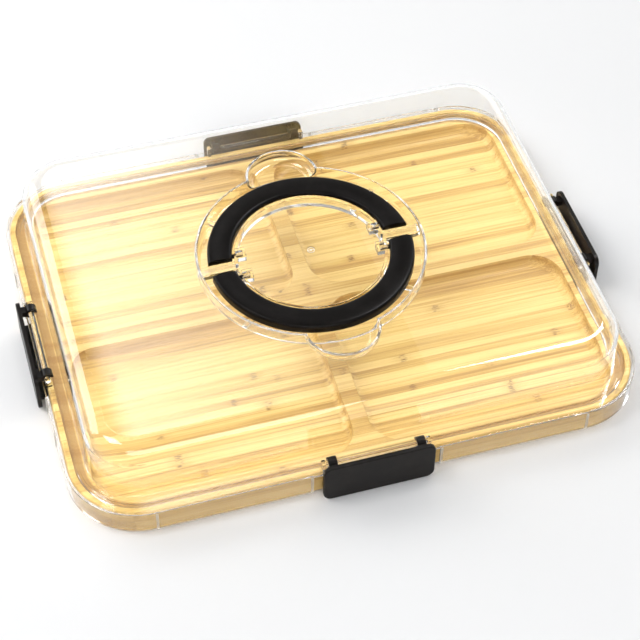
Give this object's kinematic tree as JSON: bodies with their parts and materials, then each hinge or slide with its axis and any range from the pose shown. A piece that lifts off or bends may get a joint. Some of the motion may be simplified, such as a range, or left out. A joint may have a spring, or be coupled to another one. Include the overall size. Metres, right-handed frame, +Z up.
{
  "type": "chip and dip server",
  "caption": "Divided bamboo serving board with a clear domed lid held by black side clips, and half-ring carry handles that fold flat into the lid's top.",
  "frame": {"origin": "centre of the footprint, on the surface that the feet stand on", "axes": "+X along the long side, +Y from the front to the back, +Z up"},
  "size_m": [0.4112, 0.3292, 0.0675],
  "materials": {
    "bamboo": "satin oiled bamboo, laid in strips along the board",
    "clear_plastic": "clear polished moulding",
    "black_plastic": "satin brown-black moulding",
    "foot_rubber": "matt soft foot"
  },
  "bodies": {
    "base": {"base_board": "bamboo", "foot_front_left": "foot_rubber", "foot_front_right": "foot_rubber", "foot_rear_left": "foot_rubber", "foot_rear_right": "foot_rubber"},
    "lid": {"lid_shell": "clear_plastic"},
    "rear_handle": {"rear_handle": "black_plastic"},
    "front_handle": {"front_handle": "black_plastic"},
    "front_clip": {"front_clip": "black_plastic"},
    "right_clip": {"right_clip": "black_plastic"},
    "rear_clip": {"rear_clip": "black_plastic"},
    "left_clip": {"left_clip": "black_plastic"}
  },
  "joints": [
    {"name": "lid_lift", "type": "slide", "parent": "base", "child": "lid", "axis": [0, 0, 1], "range_m": [0, 0.1]},
    {"name": "rear_handle_fold", "type": "hinge", "parent": "lid", "child": "rear_handle", "pos_m": [0, 0.0103, 0.0625], "axis": [1, 0, 0], "range_deg": [0, 90]},
    {"name": "front_handle_fold", "type": "hinge", "parent": "lid", "child": "front_handle", "pos_m": [0, -0.0103, 0.0625], "axis": [-1, 0, 0], "range_deg": [0, 90]},
    {"name": "front_clip_swing", "type": "hinge", "parent": "lid", "child": "front_clip", "pos_m": [0, -0.155, 0.028], "axis": [-1, 0, 0], "range_deg": [-6, 110]},
    {"name": "right_clip_swing", "type": "hinge", "parent": "lid", "child": "right_clip", "pos_m": [0.196, 0, 0.028], "axis": [0, -1, 0], "range_deg": [-6, 110]},
    {"name": "rear_clip_swing", "type": "hinge", "parent": "lid", "child": "rear_clip", "pos_m": [0, 0.155, 0.028], "axis": [1, 0, 0], "range_deg": [-6, 110]},
    {"name": "left_clip_swing", "type": "hinge", "parent": "lid", "child": "left_clip", "pos_m": [-0.196, 0, 0.028], "axis": [0, 1, 0], "range_deg": [-6, 110]}
  ]
}
